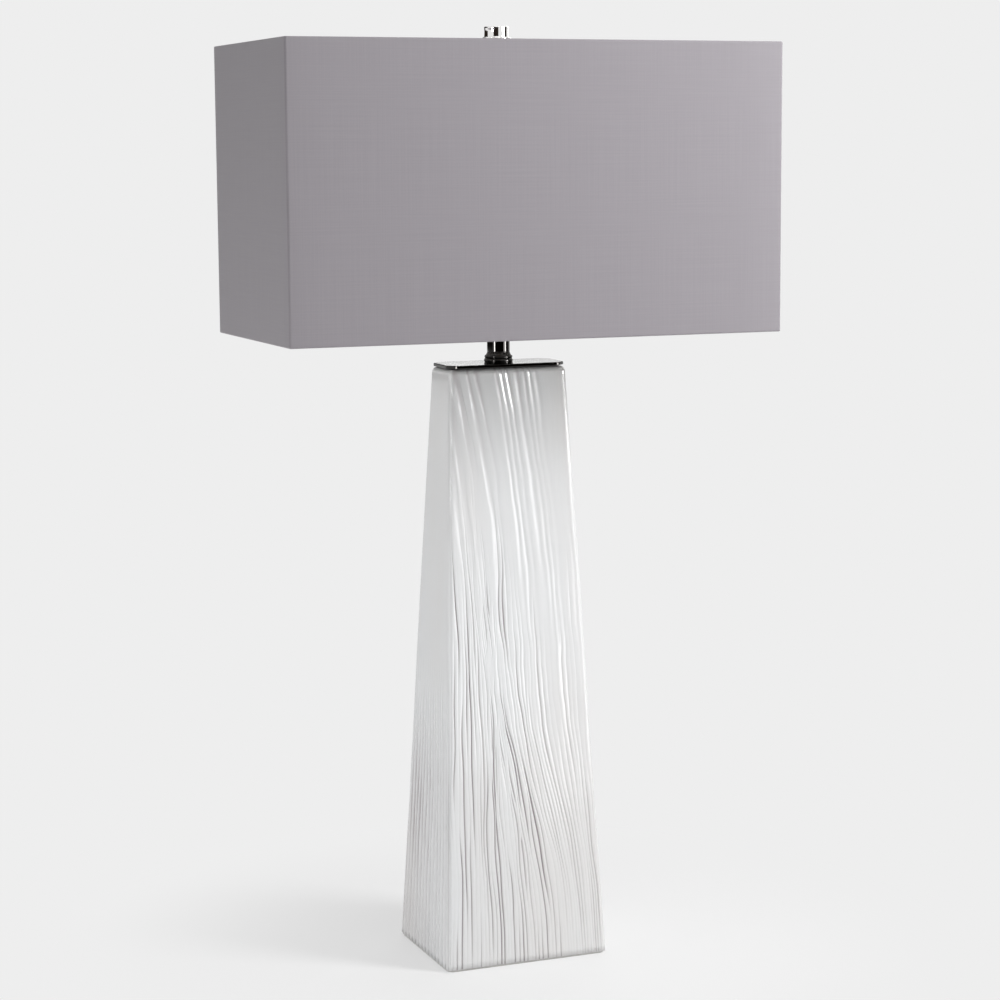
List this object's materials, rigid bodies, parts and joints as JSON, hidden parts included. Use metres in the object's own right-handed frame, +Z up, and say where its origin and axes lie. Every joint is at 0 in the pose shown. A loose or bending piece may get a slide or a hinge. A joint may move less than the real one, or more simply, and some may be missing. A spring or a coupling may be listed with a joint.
{
  "type": "table lamp",
  "caption": "Tall tapered ceramic column table lamp with carved flowing grooves, dark metal top plate and neck, and a rectangular fabric shade on a harp with a finial.",
  "frame": {"origin": "middle of the lamp's footprint on the table, under the felt", "axes": "+Z up, +X along the shade's long side, -Y towards the front, where the switch key is"},
  "size_m": [0.4572, 0.216, 0.8382],
  "materials": {
    "felt": "dense needled felt",
    "glaze": "glossy white glaze over carved flowing grooves",
    "zinc_steel": "zinc plated",
    "pipe_steel": "threaded, lightly oiled",
    "bushing_plastic": "moulded nylon",
    "gasket_rubber": "thin sheet",
    "dark_plate": "dark polished nickel plate",
    "dark_nickel": "dark polished nickel plate",
    "nickel": "polished nickel plate",
    "saddle_steel": "nickel washed steel",
    "brass": "polished, lacquered",
    "sleeve_board": "pressed insulating board",
    "phenolic": "moulded phenolic",
    "thimble": "drawn thimble",
    "knob": "moulded, glossy",
    "bulb_glass": "frosted on the inside",
    "bulb_cap": "rolled cap",
    "bulb_black": "fused black glass",
    "solder": "soldered contact",
    "stem_glass": "clear",
    "filament": "drawn wire",
    "linen": "smooth woven hardback fabric, grey mauve",
    "liner": "white styrene sheet",
    "frame_white": "white powder coat",
    "zinc_hub": "zinc plated"
  },
  "bodies": {
    "base": {"base_felt": "felt", "column": "glaze", "base_plate": "zinc_steel", "inlet_bushing": "bushing_plastic", "lamp_pipe": "pipe_steel", "foot_washer": "zinc_steel", "foot_lock_washer": "zinc_steel", "foot_nut": "zinc_steel", "plate_gasket": "gasket_rubber", "top_plate": "dark_plate", "neck_collar": "dark_nickel", "neck_tube": "dark_nickel", "neck_ring": "dark_nickel", "saddle": "saddle_steel", "saddle_nut": "brass", "harp": "nickel", "socket_cap": "brass", "socket_set_screw": "zinc_steel", "socket_shell": "brass", "socket_sleeve": "sleeve_board", "socket_body": "phenolic", "screw_shell": "thimble", "centre_contact": "thimble", "terminal_screws": "brass"},
    "harp_stud": {"harp_stud": "brass"},
    "shade": {"shade_cover": "linen", "shade_liner": "liner", "shade_top_frame": "frame_white", "spider_hub": "zinc_hub", "shade_bottom_frame": "frame_white"},
    "finial": {"finial": "nickel", "finial_insert": "brass"},
    "switch": {"switch_shaft": "zinc_steel", "switch_knob": "knob"},
    "bulb": {"bulb_glass": "bulb_glass", "bulb_cap": "bulb_cap", "bulb_insulator": "bulb_black", "bulb_tip": "solder", "bulb_stem": "stem_glass", "bulb_filament": "filament"},
    "ferrule_left": {"ferrule_left": "nickel"},
    "ferrule_right": {"ferrule_right": "nickel"}
  },
  "joints": [
    {"name": "shade_swivel", "type": "hinge", "parent": "base", "child": "harp_stud", "pos_m": [0, 0, 0.804], "axis": [0, 0, 1], "continuous": true},
    {"name": "shade_lift", "type": "slide", "parent": "harp_stud", "child": "shade", "axis": [0, 0, 1], "range_m": [0, 0.28]},
    {"name": "finial_turn", "type": "hinge", "parent": "shade", "child": "finial", "pos_m": [0, 0, 0.815], "axis": [0, 0, 1], "continuous": true},
    {"name": "switch_turn", "type": "hinge", "parent": "base", "child": "switch", "pos_m": [0, -0.028, 0.6212], "axis": [0, -1, 0], "continuous": true},
    {"name": "bulb_turn", "type": "hinge", "parent": "base", "child": "bulb", "pos_m": [0, 0, 0.64], "axis": [0, 0, 1], "continuous": true},
    {"name": "ferrule_left_slide", "type": "slide", "parent": "base", "child": "ferrule_left", "axis": [0, 0, 1], "range_m": [0, 0.014]},
    {"name": "ferrule_right_slide", "type": "slide", "parent": "base", "child": "ferrule_right", "axis": [0, 0, 1], "range_m": [0, 0.014]}
  ]
}
